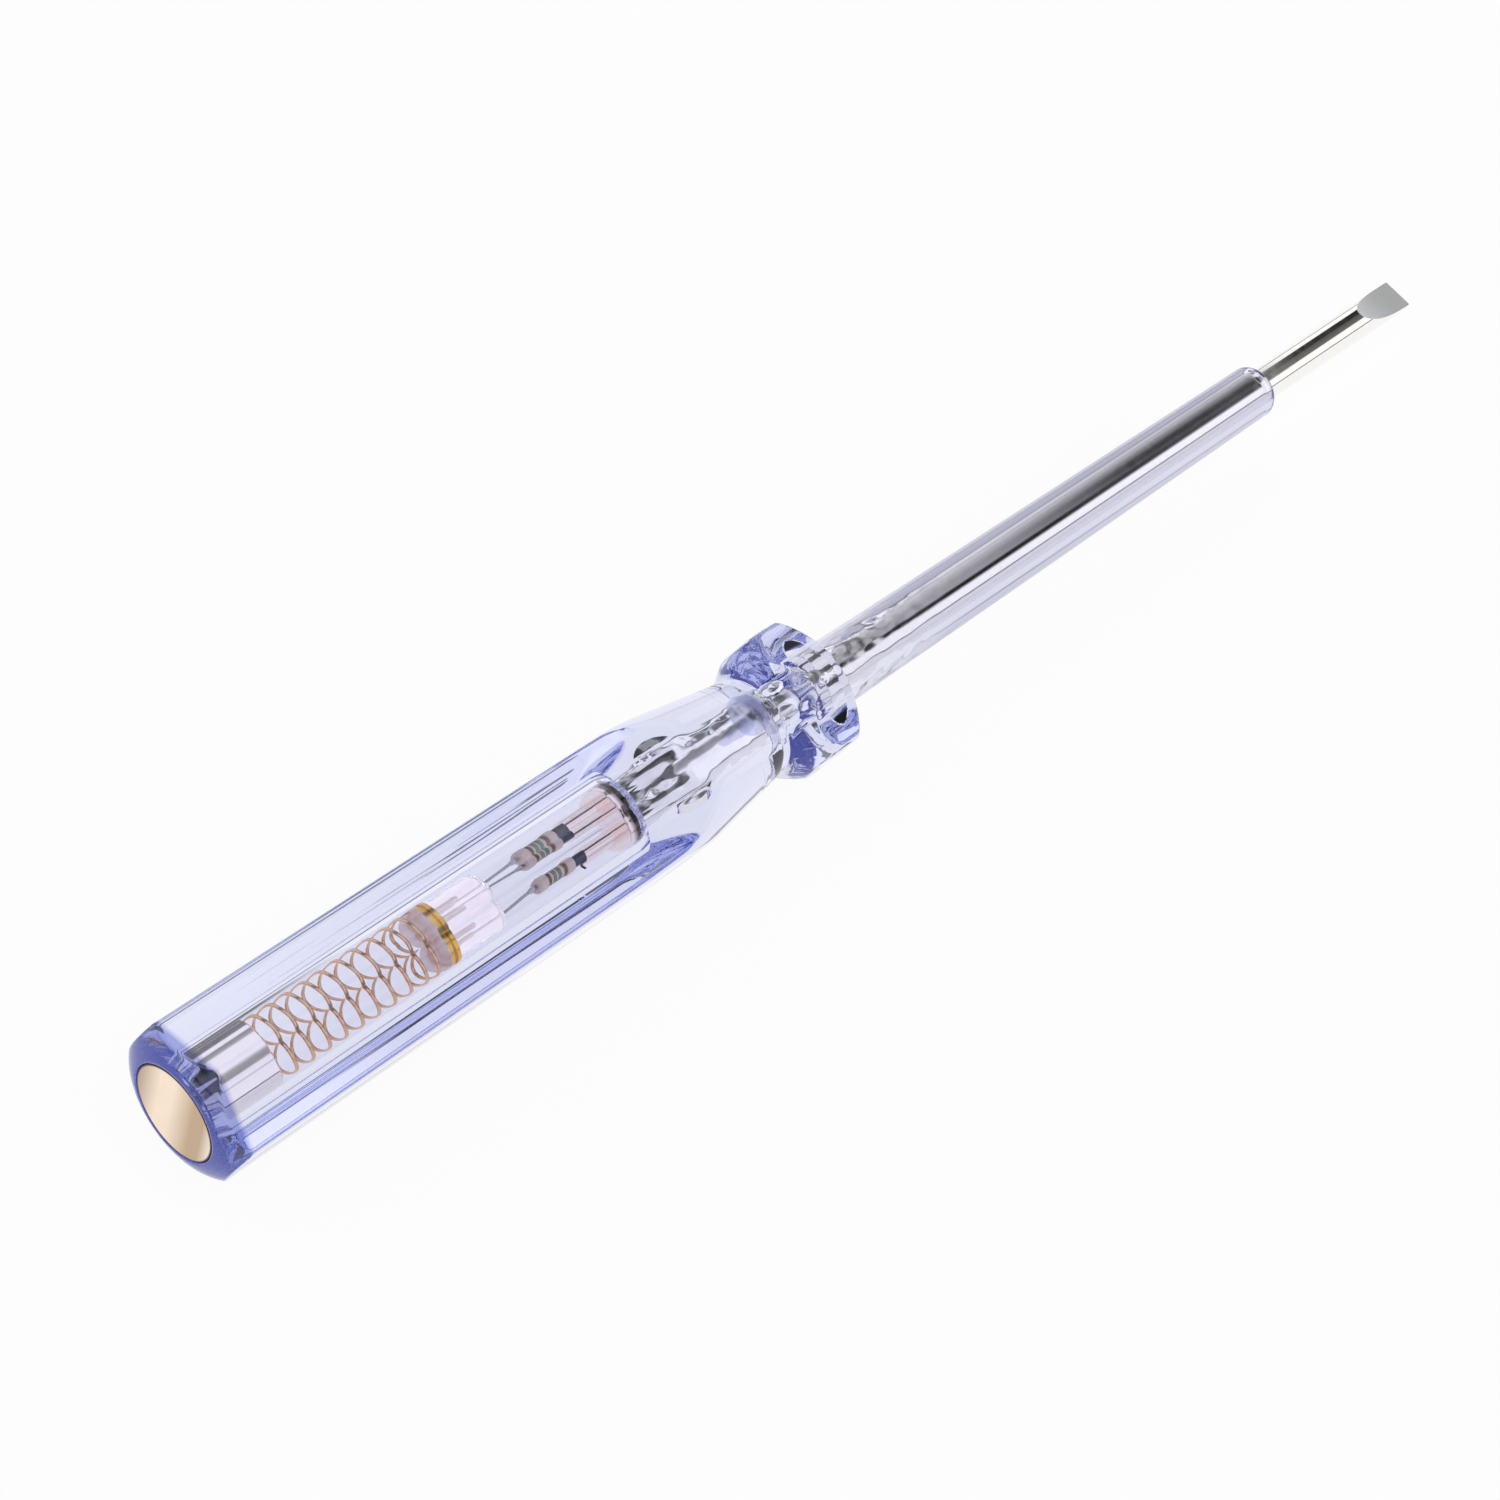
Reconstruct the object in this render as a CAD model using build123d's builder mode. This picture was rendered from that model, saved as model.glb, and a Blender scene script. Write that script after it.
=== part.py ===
# Voltage tester screwdriver: a clear moulded handle round a steel blade shaft, with a brass touch cap,
# a spring, a neon lamp and a series resistor in its bore. X runs from the touch cap to the blade tip,
# Z is up, and the origin is the centre of the touch face. Lengths are in millimetres.
from build123d import *

from math import atan2, cos, pi, sin, sqrt, tan
import os

os.makedirs("parts", exist_ok=True)

# General
cut_overrun = 1.0
press_overlap = 0.01

# Handle: a hexagon with flats at the top and bottom, turned round at the rear, the neck and the collar
flat_radius = 7.25
edge_round = 1.4
side_count = 6
corner_cover = 0.3
rear_face_radius = 5.35
rear_round_radius = 7.0
rear_round_x = 0.75
rear_round_length = 2.3
grip_length = 55.4
neck_x = 73.0
neck_radius = 5.68
groove_depth = 0.3
groove_length = 1.3
collar_flank_x = 76.8
collar_flank_radius = 7.1
collar_crest_x = 80.2
collar_crest_length = 1.2
collar_front_x = 82.9
collar_shoulder_x = 82.45
collar_shoulder_radius = 7.45
collar_face_radius = 6.4
collar_dome = 0.35
corner_radius = (flat_radius - edge_round) / cos(pi / side_count) + edge_round
turned_radius = corner_radius + corner_cover

# Blade shaft
shaft_radius = 2.0
shaft_rear_x = 54.35
tip_x = 190.0
bare_length = 29.0
tip_thickness = 0.8
grind_length = 10.5
grind_radius = 28.0
blade_turn = 18.6
tip_chamfer = 0.12
wing_x = 61.8
wing_length = 6.4
wing_half_width = 3.1
wing_thickness = 1.1

# Clear sleeve round the shaft, which leaves the shaft's front stretch bare
sleeve_root_radius = 3.69
sleeve_tip_radius = 3.14
sleeve_end_round = 1.1
sleeve_tip_x = tip_x - bare_length

# Bore and cap seat
bore_radius = 3.35
bore_end_x = 54.65
seat_clearance = 0.03
seat_depth_clearance = 0.02

# Touch cap: a brass disc with a stem
cap_radius = 5.1
cap_thickness = 1.1
cap_rim_chamfer = 0.15
stem_radius = 1.3
stem_length = 5.0

# Nickel barrel behind the spring
barrel_clearance = 0.04
barrel_front_x = 8.85
barrel_chamfer = 0.25

# Contact spring
wire_radius = 0.19
coil_radius = 2.8
open_pitch = 1.96
open_turns = 9
close_pitch = 0.82
close_turns = 1
steps_per_turn = 4
lead_in_turns = 0.045
lead_in_advance = 0.6
least_gap_wanted = 0.4
wire_end = 2 * wire_radius
spring_length = 2 * (wire_end + lead_in_advance) + open_turns * open_pitch + close_turns * close_pitch

# Lamp
lamp_cap_radius = 3.0
lamp_cap_length = 1.2
lamp_cap_groove = 0.25
lamp_cap_groove_width = 0.35
glass_radius = 2.6
glass_wall = 0.4
glass_length = 7.1
glass_dome = 1.3
glass_edge_round = 0.5
electrode_radius = 0.42
electrode_length = 2.7
electrode_spacing = 1.5
electrode_tail_radius = 0.2
electrode_rear_gap = 0.9

# Series resistor
wire_lead_radius = 0.27
lamp_lead_length = 4.8
lead_straight = 1.0
lead_bend_radius = 1.0
joint_radius = 0.5
joint_length = 1.0
resistor_length = 4.5
resistor_end_radius = 1.25
resistor_waist_radius = 1.0
resistor_end_length = 1.0
resistor_end_round = 0.2
band_thickness = 0.06
band_width = 0.4
band_shares = (0.0, 0.33, 0.62, 1.0)
insulator_radius = 0.95
insulator_length = 1.3

# Front contact
contact_barrel_radius = 1.35
contact_flange_radius = 3.05
contact_flange_length = 1.5
contact_flange_round = 0.3
lead_grip_length = 2.2
tail_radius = 0.13
tail_start_radius = 1.16
tail_bend_radius = 0.6
tail_reach = 0.5

# Stations of the sprung stack, each piece set against the one behind it
lamp_cap_x = barrel_front_x + spring_length
glass_x = lamp_cap_x + lamp_cap_length
glass_front_x = glass_x + glass_length
resistor_x = glass_front_x + lamp_lead_length
insulator_x = resistor_x + resistor_length
contact_x = insulator_x + insulator_length
flange_x = shaft_rear_x - contact_flange_length


# The steel rod with its two anchor wings, thinner all over by the given amount
def anchoredRod(rear_x, front_x, less):
    with BuildPart() as rod:
        with BuildSketch(Plane.YZ.offset(rear_x)):
            Circle(shaft_radius - less)
        extrude(amount=front_x - rear_x)
        with BuildSketch(Plane.XY.offset(-wing_thickness / 2 + less)):
            with Locations((wing_x, 0)):
                Ellipse(wing_length / 2 - less, wing_half_width - less)
        extrude(amount=wing_thickness - 2 * less)
    return rod.part


# Handle
with BuildPart() as handle:
    with BuildSketch(Plane.YZ):
        RegularPolygon(flat_radius, side_count, major_radius=False)
        fillet(vertices(), edge_round)
    extrude(amount=collar_front_x + collar_dome)
    with BuildSketch(Plane.XY):
        with BuildLine():
            Line((0, 0), (0, rear_face_radius))
            ThreePointArc(
                (0, rear_face_radius),
                (rear_round_x, rear_round_radius),
                (rear_round_length, turned_radius),
            )
            Line((rear_round_length, turned_radius), (grip_length, turned_radius))
            Line((grip_length, turned_radius), (neck_x, neck_radius))
            Polyline(
                (neck_x, neck_radius),
                (neck_x + groove_depth, neck_radius - groove_depth),
                (neck_x + groove_length, neck_radius - groove_depth),
                (neck_x + groove_length + groove_depth, neck_radius),
            )
            ThreePointArc(
                (neck_x + groove_length + groove_depth, neck_radius),
                (collar_flank_x, collar_flank_radius),
                (collar_crest_x, turned_radius),
            )
            Line(
                (collar_crest_x, turned_radius),
                (collar_crest_x + collar_crest_length, turned_radius),
            )
            ThreePointArc(
                (collar_crest_x + collar_crest_length, turned_radius),
                (collar_shoulder_x, collar_shoulder_radius),
                (collar_front_x, collar_face_radius),
            )
            Line((collar_front_x, collar_face_radius), (collar_front_x + collar_dome, 0))
            Line((collar_front_x + collar_dome, 0), (0, 0))
        make_face()
    revolve(axis=Axis.X, mode=Mode.INTERSECT)
    with BuildSketch(Plane.XY):
        with BuildLine():
            Polyline(
                (collar_front_x, 0),
                (collar_front_x, sleeve_root_radius),
                (sleeve_tip_x, sleeve_tip_radius),
                (sleeve_tip_x, 0),
                close=True,
            )
        make_face()
    revolve(axis=Axis.X)
    fillet(edges().filter_by(GeomType.CIRCLE).sort_by(Axis.X)[-1], sleeve_end_round)
    with BuildSketch(Plane.YZ):
        Circle(cap_radius + seat_clearance)
    extrude(amount=cap_thickness + seat_depth_clearance, mode=Mode.SUBTRACT)
    with BuildSketch(Plane.YZ):
        Circle(bore_radius)
    extrude(amount=bore_end_x, mode=Mode.SUBTRACT)
    add(anchoredRod(shaft_rear_x, tip_x, press_overlap), mode=Mode.SUBTRACT)
handle.part.label = "handle"
export_step(handle.part, "parts/handle.step")

# Blade shaft, ground hollow on two sides to a flat blade
grind_rise = grind_radius - sqrt(grind_radius**2 - grind_length**2)
grind_mid_rise = grind_radius - sqrt(grind_radius**2 - (grind_length / 2) ** 2)
with BuildPart() as blade_shaft:
    add(anchoredRod(shaft_rear_x, tip_x, 0))
    chamfer(faces().sort_by(Axis.X)[-1].edges(), tip_chamfer)
    with BuildSketch(Plane.XZ.rotated((blade_turn, 0, 0))):
        for side in (1, -1):
            with BuildLine():
                tip_point = (tip_x, side * tip_thickness / 2)
                mid_point = (tip_x - grind_length / 2, side * (tip_thickness / 2 + grind_mid_rise))
                rear_point = (tip_x - grind_length, side * (tip_thickness / 2 + grind_rise))
                ThreePointArc(tip_point, mid_point, rear_point)
                Polyline(
                    rear_point,
                    (tip_x + cut_overrun, rear_point[1]),
                    (tip_x + cut_overrun, tip_point[1]),
                    tip_point,
                )
            make_face()
    extrude(amount=shaft_radius + cut_overrun, both=True, mode=Mode.SUBTRACT)
blade_shaft.part.label = "blade_shaft"
export_step(blade_shaft.part, "parts/blade_shaft.step")

# Touch cap
with BuildPart() as touch_cap:
    with BuildSketch(Plane.YZ):
        Circle(cap_radius)
    extrude(amount=cap_thickness)
    chamfer(faces().sort_by(Axis.X)[0].edges(), cap_rim_chamfer)
    with BuildSketch(Plane.YZ):
        Circle(stem_radius)
    extrude(amount=cap_thickness + stem_length)
touch_cap.part.label = "touch_cap"
export_step(touch_cap.part, "parts/touch_cap.step")

# Nickel barrel pressed on the cap's stem
with BuildPart() as cap_barrel:
    with BuildSketch(Plane.YZ.offset(cap_thickness)):
        Circle(bore_radius - barrel_clearance)
    extrude(amount=barrel_front_x - cap_thickness)
    chamfer(faces().sort_by(Axis.X)[-1].edges(), barrel_chamfer)
    with BuildSketch(Plane.YZ.offset(cap_thickness)):
        Circle(stem_radius)
    extrude(amount=stem_length, mode=Mode.SUBTRACT)
cap_barrel.part.label = "cap_barrel"
export_step(cap_barrel.part, "parts/cap_barrel.step")


# The point and the direction of the spring's centre line at a turn counted from its rear
def coilPoint(turn, station):
    angle = 2 * pi * turn
    return Vector(station, coil_radius * cos(angle), coil_radius * sin(angle))


def coilDirection(turn, pitch):
    angle = 2 * pi * turn
    run = 2 * pi * coil_radius
    return Vector(pitch, -run * sin(angle), run * cos(angle)).normalized()


# Two arcs that leave the first point along its direction and reach the second along its own
def twoArcs(start, start_way, end, end_way):
    chord = end - start
    both = start_way + end_way
    spread = 2 * (1 - start_way.dot(end_way))
    along = chord.dot(both)
    reach = (-along + sqrt(along**2 + spread * chord.dot(chord))) / spread
    first = start + start_way * reach
    last = end - end_way * reach
    middle = (first + last) * 0.5
    return [arcPoints(start, first, middle), arcPoints(middle, last, end)]


# Start, middle and end of the arc whose end tangents meet at the corner
def arcPoints(start, corner, end):
    half_chord = (end - start).length / 2
    half_turn = atan2(sqrt((corner - start).length ** 2 - half_chord**2), half_chord)
    chord_middle = (start + end) * 0.5
    return start, chord_middle + (corner - chord_middle) * (tan(half_turn / 2) / tan(half_turn)), end


# Contact spring: straight ends square to what they press on, open turns, then a close turn
coil_start_x = barrel_front_x + wire_end + lead_in_advance
stations = [(lead_in_turns, coil_start_x, open_pitch)]
for step in range(open_turns * steps_per_turn + close_turns * steps_per_turn):
    turn, station, pitch = stations[-1]
    pitch = open_pitch if step < open_turns * steps_per_turn else close_pitch
    stations.append((turn + 1 / steps_per_turn, station + pitch / steps_per_turn, pitch))
last_turn = stations[-1][0] + lead_in_turns
front_x = lamp_cap_x - wire_end
points = [(coilPoint(0, barrel_front_x + wire_end), Vector(1, 0, 0))]
points += [(coilPoint(turn, station), coilDirection(turn, pitch)) for turn, station, pitch in stations]
points += [(coilPoint(last_turn, front_x), Vector(1, 0, 0))]
arcs = []
for (start, start_way), (end, end_way) in zip(points, points[1:]):
    arcs += twoArcs(start, start_way, end, end_way)

with BuildPart() as contact_spring:
    with BuildLine() as spring_line:
        Line(coilPoint(0, barrel_front_x), coilPoint(0, barrel_front_x + wire_end))
        for start, middle, end in arcs:
            ThreePointArc(start, middle, end)
        Line(coilPoint(last_turn, front_x), coilPoint(last_turn, lamp_cap_x))
    with BuildSketch(Plane(coilPoint(0, barrel_front_x), z_dir=(1, 0, 0))):
        Circle(wire_radius)
    sweep(path=spring_line.wires()[0])
contact_spring.part.label = "contact_spring"
export_step(contact_spring.part, "parts/contact_spring.step")

# Least gap between turns, measured on points of the centre line half a turn or more apart
samples = [point for arc in arcs for point in (arc[0], arc[1])]
samples_per_turn = 4 * steps_per_turn
apart = samples_per_turn // 2
least_gap = min(
    (samples[i] - samples[j]).length - 2 * wire_radius
    for i in range(len(samples))
    for j in range(i + apart, len(samples))
)
print("spring turns %.2f, least gap %.3f mm, wanted over %.1f" % (last_turn, least_gap, least_gap_wanted))

# Lamp cap: brass button between the spring and the lamp, with a groove round it
with BuildPart() as lamp_cap:
    with BuildSketch(Plane.YZ.offset(lamp_cap_x)):
        Circle(lamp_cap_radius)
    extrude(amount=lamp_cap_length)
    with BuildSketch(Plane.YZ.offset(lamp_cap_x + (lamp_cap_length - lamp_cap_groove_width) / 2)):
        Circle(lamp_cap_radius + cut_overrun)
        Circle(lamp_cap_radius - lamp_cap_groove, mode=Mode.SUBTRACT)
    extrude(amount=lamp_cap_groove_width, mode=Mode.SUBTRACT)
lamp_cap.part.label = "lamp_cap"
export_step(lamp_cap.part, "parts/lamp_cap.step")


# The bulb's solid outline turned round the axis, moved inwards by the given wall
def bulb(wall):
    radius = glass_radius - wall
    rear_x, front_x = glass_x + wall, glass_front_x - wall
    dome = glass_dome - wall
    dome_radius = (radius**2 + dome**2) / (2 * dome)
    half_turn = atan2(radius, dome_radius - dome) / 2
    dome_middle = (front_x - dome_radius * (1 - cos(half_turn)), dome_radius * sin(half_turn))
    with BuildPart() as solid:
        with BuildSketch(Plane.XY):
            with BuildLine():
                Polyline((front_x, 0), (rear_x, 0), (rear_x, radius), (front_x - dome, radius))
                ThreePointArc((front_x - dome, radius), dome_middle, (front_x, 0))
            make_face()
            fillet(vertices().group_by(Axis.Y)[-1], glass_edge_round - wall / 2)
        revolve(axis=Axis.X)
    return solid.part


rear_electrode_x = glass_x + electrode_rear_gap
front_electrode_x = rear_electrode_x + electrode_length
electrode_tails = (
    (glass_x, rear_electrode_x, electrode_spacing / 2),
    (front_electrode_x, glass_front_x, -electrode_spacing / 2),
)

# Lamp glass: a closed bulb with a hole where each electrode's tail is sealed in
with BuildPart() as lamp_glass:
    add(bulb(0))
    add(bulb(glass_wall), mode=Mode.SUBTRACT)
    for rear, front, height in electrode_tails:
        with BuildSketch(Plane.YZ.offset(rear)):
            with Locations((0, height)):
                Circle(electrode_tail_radius)
        extrude(amount=front - rear, mode=Mode.SUBTRACT)
lamp_glass.part.label = "lamp_glass"
export_step(lamp_glass.part, "parts/lamp_glass.step")

# Two electrodes side by side, each with a thin tail through its end of the bulb
for name, (rear, front, height) in zip(("electrode_rear", "electrode_front"), electrode_tails):
    with BuildPart() as electrode:
        with BuildSketch(Plane.YZ.offset(rear_electrode_x)):
            with Locations((0, height)):
                Circle(electrode_radius)
        extrude(amount=electrode_length)
        with BuildSketch(Plane.YZ.offset(rear)):
            with Locations((0, height)):
                Circle(electrode_tail_radius)
        extrude(amount=front - rear)
    electrode.part.label = name
    export_step(electrode.part, "parts/" + name + ".step")


# Lead from the lamp's front tail to the resistor
tail_height = electrode_tails[1][2]
with BuildPart() as lamp_lead:
    with BuildLine() as lead_line:
        Polyline(
            (glass_front_x, 0, tail_height),
            (glass_front_x + lead_straight, 0, tail_height),
            (resistor_x - lead_straight, 0, 0),
            (resistor_x, 0, 0),
        )
        fillet(lead_line.vertices().sort_by(Axis.X)[1:3], lead_bend_radius)
    with BuildSketch(Plane((glass_front_x, 0, tail_height), z_dir=(1, 0, 0))):
        Circle(wire_lead_radius)
    sweep(path=lead_line.wires()[0])
lamp_lead.part.label = "lamp_lead"
export_step(lamp_lead.part, "parts/lamp_lead.step")

# Resistor body with bulged ends
waist_x = resistor_x + resistor_end_length
waist_length = resistor_length - 2 * resistor_end_length
with BuildPart() as resistor_body:
    with BuildSketch(Plane.YZ.offset(resistor_x)):
        Circle(resistor_waist_radius)
    extrude(amount=resistor_length)
    for rear in (resistor_x, resistor_x + resistor_length - resistor_end_length):
        with BuildSketch(Plane.YZ.offset(rear)):
            Circle(resistor_end_radius)
        extrude(amount=resistor_end_length)
    bulge_edges = edges().filter_by(GeomType.CIRCLE).group_by(SortBy.RADIUS)[-1]
    fillet(bulge_edges, resistor_end_round)
resistor_body.part.label = "resistor_body"
export_step(resistor_body.part, "parts/resistor_body.step")

# Colour bands painted round the resistor's waist
for number, share in enumerate(band_shares):
    with BuildPart() as band:
        with BuildSketch(Plane.YZ.offset(waist_x + share * (waist_length - band_width))):
            Circle(resistor_waist_radius + band_thickness)
            Circle(resistor_waist_radius, mode=Mode.SUBTRACT)
        extrude(amount=band_width)
    band.part.label = "resistor_band_%d" % (number + 1)
    export_step(band.part, "parts/resistor_band_%d.step" % (number + 1))

# Blob of solder where the lead meets the resistor's own wire
with BuildPart() as solder_joint:
    with BuildSketch(Plane.XY):
        with BuildLine():
            rear, solder_x, front = resistor_x - joint_length, resistor_x - joint_length / 2, resistor_x
            ThreePointArc((rear, wire_lead_radius), (solder_x, joint_radius), (front, wire_lead_radius))
            Line((front, wire_lead_radius), (rear, wire_lead_radius))
        make_face()
    revolve(axis=Axis.X)
solder_joint.part.label = "solder_joint"
export_step(solder_joint.part, "parts/solder_joint.step")

# Front wire of the resistor, through a short insulating sleeve into the front contact
with BuildPart() as resistor_lead:
    with BuildSketch(Plane.YZ.offset(insulator_x)):
        Circle(wire_lead_radius)
    extrude(amount=insulator_length + lead_grip_length)
resistor_lead.part.label = "resistor_lead"
export_step(resistor_lead.part, "parts/resistor_lead.step")

with BuildPart() as insulating_sleeve:
    with BuildSketch(Plane.YZ.offset(insulator_x)):
        Circle(insulator_radius)
        Circle(wire_lead_radius, mode=Mode.SUBTRACT)
    extrude(amount=insulator_length)
insulating_sleeve.part.label = "insulating_sleeve"
export_step(insulating_sleeve.part, "parts/insulating_sleeve.step")

# Front contact: a flanged copper plug that the spring holds against the shaft's rear end
with BuildPart() as front_contact:
    with BuildSketch(Plane.YZ.offset(contact_x)):
        Circle(contact_barrel_radius)
    extrude(amount=flange_x - contact_x)
    with BuildSketch(Plane.YZ.offset(flange_x)):
        Circle(contact_flange_radius)
    extrude(amount=contact_flange_length)
    fillet(edges().filter_by(GeomType.CIRCLE).group_by(SortBy.RADIUS)[-1], contact_flange_round)
    with BuildSketch(Plane.YZ.offset(contact_x)):
        Circle(wire_lead_radius)
    extrude(amount=lead_grip_length, mode=Mode.SUBTRACT)
front_contact.part.label = "front_contact"
export_step(front_contact.part, "parts/front_contact.step")

# Cut-off wire tail that leaves the back of the front contact and bends to the side
tail_straight = 2 * tail_radius
tail_corner_x = contact_x - tail_straight - tail_bend_radius
with BuildPart() as lead_tail:
    with BuildLine() as tail_line:
        Polyline(
            (contact_x, -tail_start_radius, 0),
            (tail_corner_x, -tail_start_radius, 0),
            (tail_corner_x, -tail_start_radius - tail_bend_radius - tail_reach, 0),
        )
        fillet(tail_line.vertices().group_by(Axis.X)[0].sort_by(Axis.Y)[-1], tail_bend_radius)
    with BuildSketch(Plane((contact_x, -tail_start_radius, 0), z_dir=(-1, 0, 0))):
        Circle(tail_radius)
    sweep(path=tail_line.wires()[0])
lead_tail.part.label = "lead_tail"
export_step(lead_tail.part, "parts/lead_tail.step")
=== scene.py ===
from math import pi, radians, sqrt

import bpy
import numpy as np
from mathutils import Matrix, Vector


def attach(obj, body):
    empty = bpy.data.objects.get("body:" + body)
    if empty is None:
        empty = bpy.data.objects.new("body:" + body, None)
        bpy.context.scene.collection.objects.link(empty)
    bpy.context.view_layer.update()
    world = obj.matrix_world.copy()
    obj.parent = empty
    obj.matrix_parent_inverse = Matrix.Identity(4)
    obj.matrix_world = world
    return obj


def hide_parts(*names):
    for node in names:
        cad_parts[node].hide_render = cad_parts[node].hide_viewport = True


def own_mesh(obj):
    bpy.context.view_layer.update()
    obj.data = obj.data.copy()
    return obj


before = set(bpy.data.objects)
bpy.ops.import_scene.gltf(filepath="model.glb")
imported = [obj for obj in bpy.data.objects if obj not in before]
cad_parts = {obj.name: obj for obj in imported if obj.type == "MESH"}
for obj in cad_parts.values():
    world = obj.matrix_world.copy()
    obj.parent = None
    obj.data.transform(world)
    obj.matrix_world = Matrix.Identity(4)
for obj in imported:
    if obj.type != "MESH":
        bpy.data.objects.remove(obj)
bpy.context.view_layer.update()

# Voltage tester screwdriver lying on a pale table. Lengths are in millimetres here and become metres in
# the meshes.
mm = 0.001
alongTool = (1, 0, 0)  # from the touch cap to the blade


# Small helpers

# One sRGB hex colour as linear red, green, blue and a full alpha
def hexColour(code):
    levels = [int(code[i:i + 2], 16) / 255 for i in (0, 2, 4)]
    linear = [v / 12.92 if v <= 0.04045 else ((v + 0.055) / 1.055) ** 2.4 for v in levels]
    return (*linear, 1.0)


# Adds one node with its own settings, its inputs and the stops of its ramp, and links the inputs that are
# sockets
def addNode(tree, kind, inputs=None, stops=(), **settings):
    node = tree.nodes.new(kind)
    for name, value in settings.items():
        setattr(node, name, value)
    for name, value in (inputs or {}).items():
        if isinstance(value, bpy.types.NodeSocket):
            tree.links.new(value, node.inputs[name])
        else:
            node.inputs[name].default_value = value
    if stops:
        elements = node.color_ramp.elements
        for place, colour in stops[1:-1]:
            elements.new(place)
        for element, (place, colour) in zip(elements, stops):
            element.position = place
            element.color = colour
    return node


# Empty material with its output node
def newMaterial(name):
    material = bpy.data.materials.new(name)
    material.use_nodes = True
    tree = material.node_tree
    tree.nodes.clear()
    return material, tree, tree.nodes.new("ShaderNodeOutputMaterial")


# Object coordinates in metres, moved to a centre and stretched by a scale
def mappedPlace(tree, centre=(0, 0, 0), scale=(1, 1, 1)):
    place = addNode(tree, "ShaderNodeTexCoord").outputs["Object"]
    moved = addNode(tree, "ShaderNodeVectorMath", {0: place, 1: centre}, operation="SUBTRACT").outputs[0]
    return addNode(tree, "ShaderNodeVectorMath", {0: moved, 1: scale}, operation="MULTIPLY").outputs[0]


# Distance along a direction in metres, or from the tool's axis where no direction is given
def distanceAlong(tree, way=None):
    if way is None:
        across = mappedPlace(tree, scale=(0, 1, 1))
        return addNode(tree, "ShaderNodeVectorMath", {0: across}, operation="LENGTH").outputs["Value"]
    reach = addNode(tree, "ShaderNodeVectorMath", {0: mappedPlace(tree), 1: way}, operation="DOT_PRODUCT")
    return reach.outputs["Value"]


# Gives one material to some nodes of the frame
def dress(material, *nodes):
    for node in nodes:
        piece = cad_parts[node]
        piece.data.materials.clear()
        piece.data.materials.append(material)


# Closed grid of rows by columns of points, with faces that point outwards. Columns wrap round. Rows wrap
# too, or end in flat caps. Where both wrap, each corner's normal is the sum of the cross products of the
# four faces about it, so that large faces stay flat beside narrow ones.
def gridObject(name, points, wrapRows, material):
    rows, columns = points.shape[:2]
    index = np.arange(rows * columns).reshape(rows, columns)
    below = index if wrapRows else index[:-1]
    above = np.roll(index, -1, 0) if wrapRows else index[1:]
    quads = np.stack([below, above, np.roll(above, -1, 1), np.roll(below, -1, 1)], -1).reshape(-1, 4)
    caps = [] if wrapRows else [index[0].tolist(), index[-1, ::-1].tolist()]
    flat = points.reshape(-1, 3)
    mesh = bpy.data.meshes.new(name)
    mesh.from_pydata((flat * mm).tolist(), [], quads.tolist() + caps)
    mesh.polygons.foreach_set("use_smooth", np.ones(len(mesh.polygons), bool))
    mesh.update()
    if wrapRows:
        a, b, c, d = (flat[quads[:, k]] for k in range(4))
        cross = np.cross(c - a, d - b)
        normals = np.zeros_like(flat)
        for k in range(4):
            np.add.at(normals, quads[:, k], cross)
        lengths = np.linalg.norm(normals, axis=1, keepdims=True)
        mesh.normals_split_custom_set_from_vertices((normals / lengths).tolist())
    mesh.materials.append(material)
    piece = bpy.data.objects.new(name, mesh)
    bpy.context.scene.collection.objects.link(piece)
    return piece


# Points of the arc through three points of a profile, without its last point. Its centre is as far from
# all three, and its angle changes evenly.
def arcPoints(first, middle, last, count):
    (ax, ay), (bx, by), (cx, cy) = first, middle, last
    d = 2 * (ax * (by - cy) + bx * (cy - ay) + cx * (ay - by))
    ux = ((ax**2 + ay**2) * (by - cy) + (bx**2 + by**2) * (cy - ay) + (cx**2 + cy**2) * (ay - by)) / d
    uy = ((ax**2 + ay**2) * (cx - bx) + (bx**2 + by**2) * (ax - cx) + (cx**2 + cy**2) * (bx - ax)) / d
    radius = np.hypot(ax - ux, ay - uy)
    angles = np.unwrap([np.arctan2(y - uy, x - ux) for x, y in (first, middle, last)])
    way = np.linspace(angles[0], angles[2], count, endpoint=False)
    return np.stack([ux + radius * np.cos(way), uy + radius * np.sin(way)], -1)


# Points along a straight line of a profile, without its last point
def linePoints(first, last, count):
    share = np.linspace(0, 1, count, endpoint=False)[:, None]
    return np.array(first) * (1 - share) + np.array(last) * share


# Camera, as the photograph sees the tool
camera = dict(
    place=(-114.06, -152.23, 217.09), aim=(76.06, 1.09, -4.83), roll=-5.80, lens=77.58, sensor=36.0,
    nearest=10,
)


def addCamera():
    data = bpy.data.cameras.new("camera")
    data.lens = camera["lens"]
    data.sensor_width = camera["sensor"]
    data.clip_start = camera["nearest"] * mm
    seer = bpy.data.objects.new("camera", data)
    place, aim = Vector(camera["place"]) * mm, Vector(camera["aim"]) * mm
    roll = Matrix.Rotation(radians(-camera["roll"]), 3, "Z")
    turn = (aim - place).to_track_quat("-Z", "Y").to_matrix() @ roll
    seer.matrix_world = Matrix.Translation(place) @ turn.to_4x4()
    bpy.context.scene.collection.objects.link(seer)
    bpy.context.scene.camera = seer


addCamera()
print("camera placed")

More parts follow.
